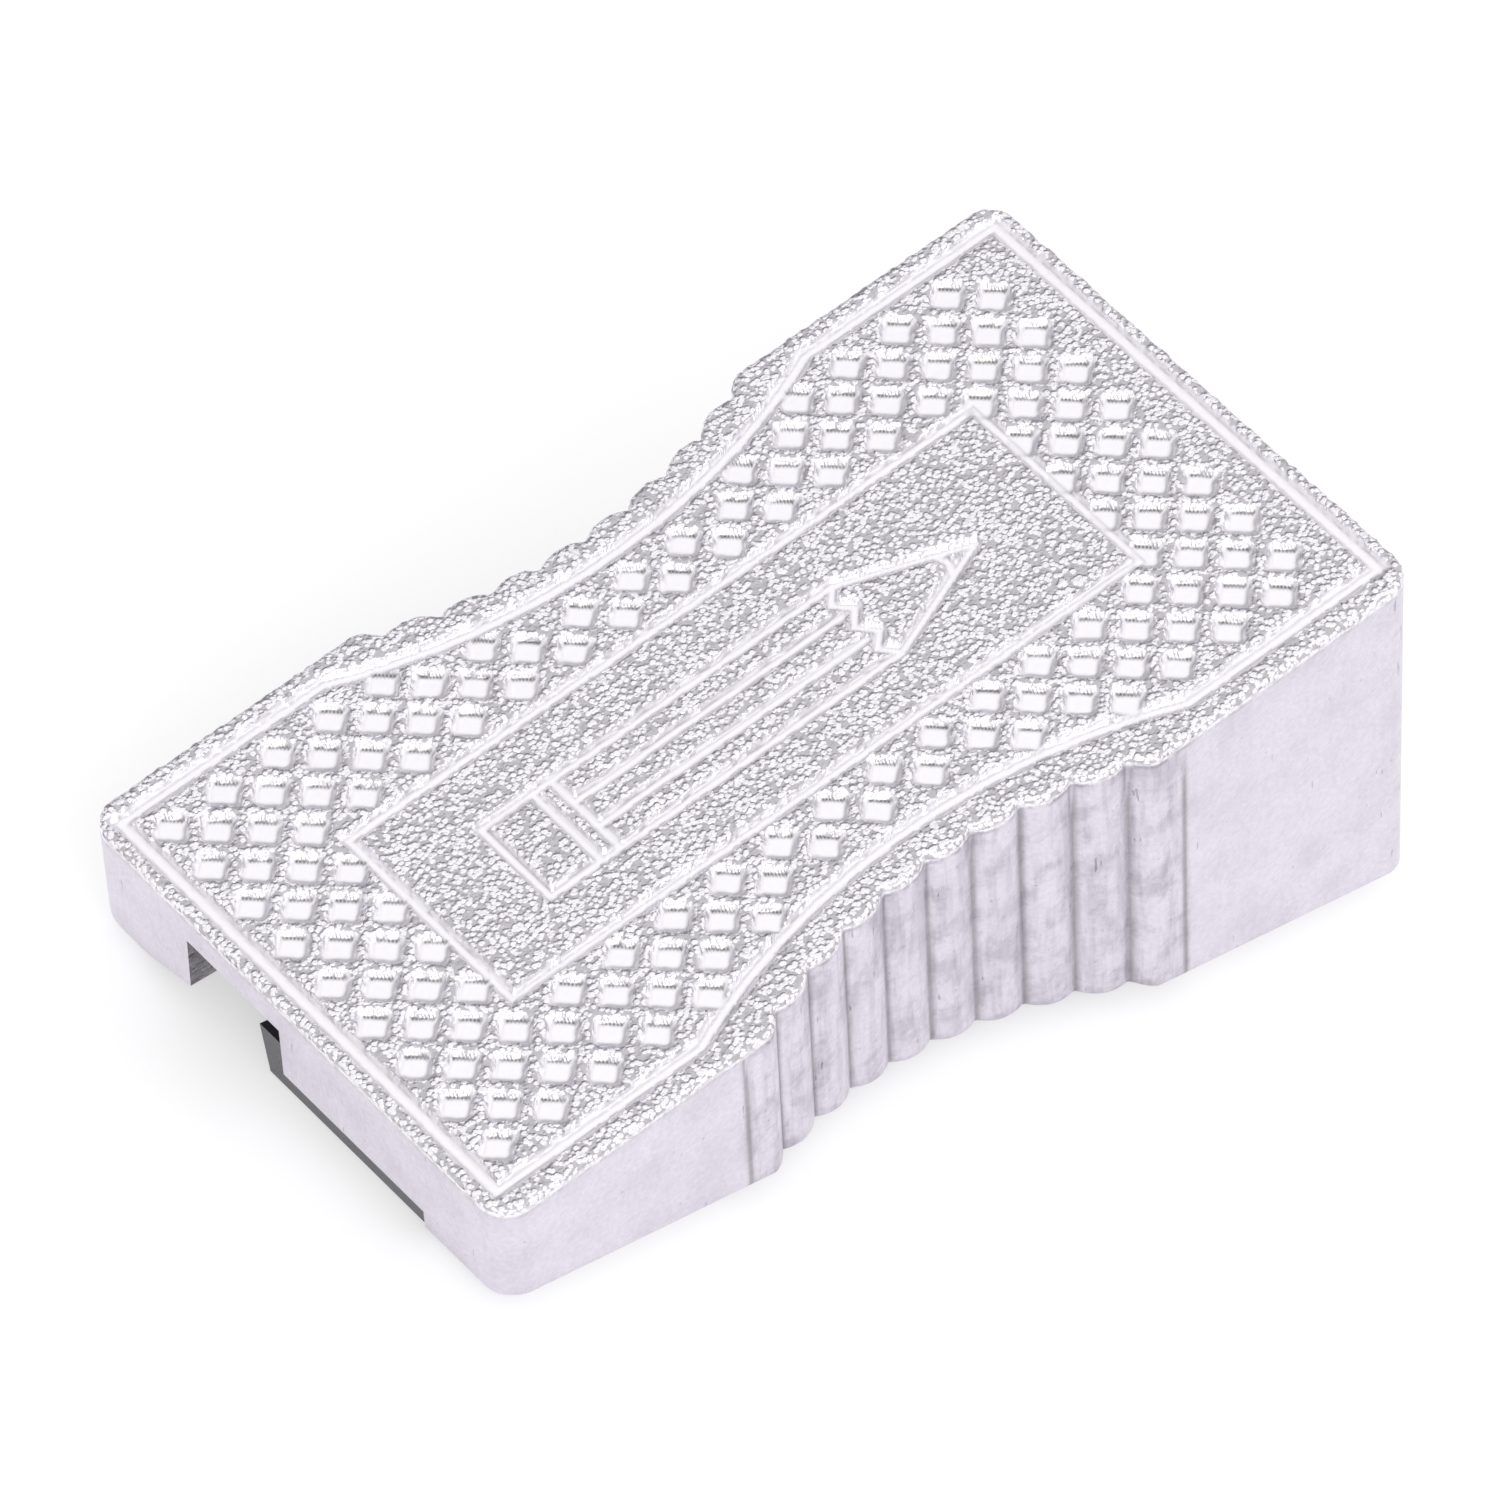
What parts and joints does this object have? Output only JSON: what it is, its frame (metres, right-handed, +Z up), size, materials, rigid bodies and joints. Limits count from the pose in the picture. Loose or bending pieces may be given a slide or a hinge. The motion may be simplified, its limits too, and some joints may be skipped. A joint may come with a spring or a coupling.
{
  "type": "pencil sharpener",
  "caption": "Hand-held metal wedge pencil sharpener with a ribbed waist, a screwed blade over a conical hole, and a dimpled top face.",
  "frame": {"origin": "middle of the bottom of the bounding box, in the plane of the blade's outer face that the part rests on", "axes": "+X from the thin end to the tall end with the pencil hole, +Y to the side where the shavings leave, +Z up through the decorated face"},
  "size_m": [0.027, 0.0138, 0.0105],
  "materials": {
    "body": "cast, bead-blasted sides and a sandy decorated face",
    "blade": "hardened strip with a bright ground edge",
    "screw": "zinc plated"
  },
  "bodies": {
    "root": {"body": "body", "blade": "blade", "screw": "screw"}
  },
  "joints": []
}
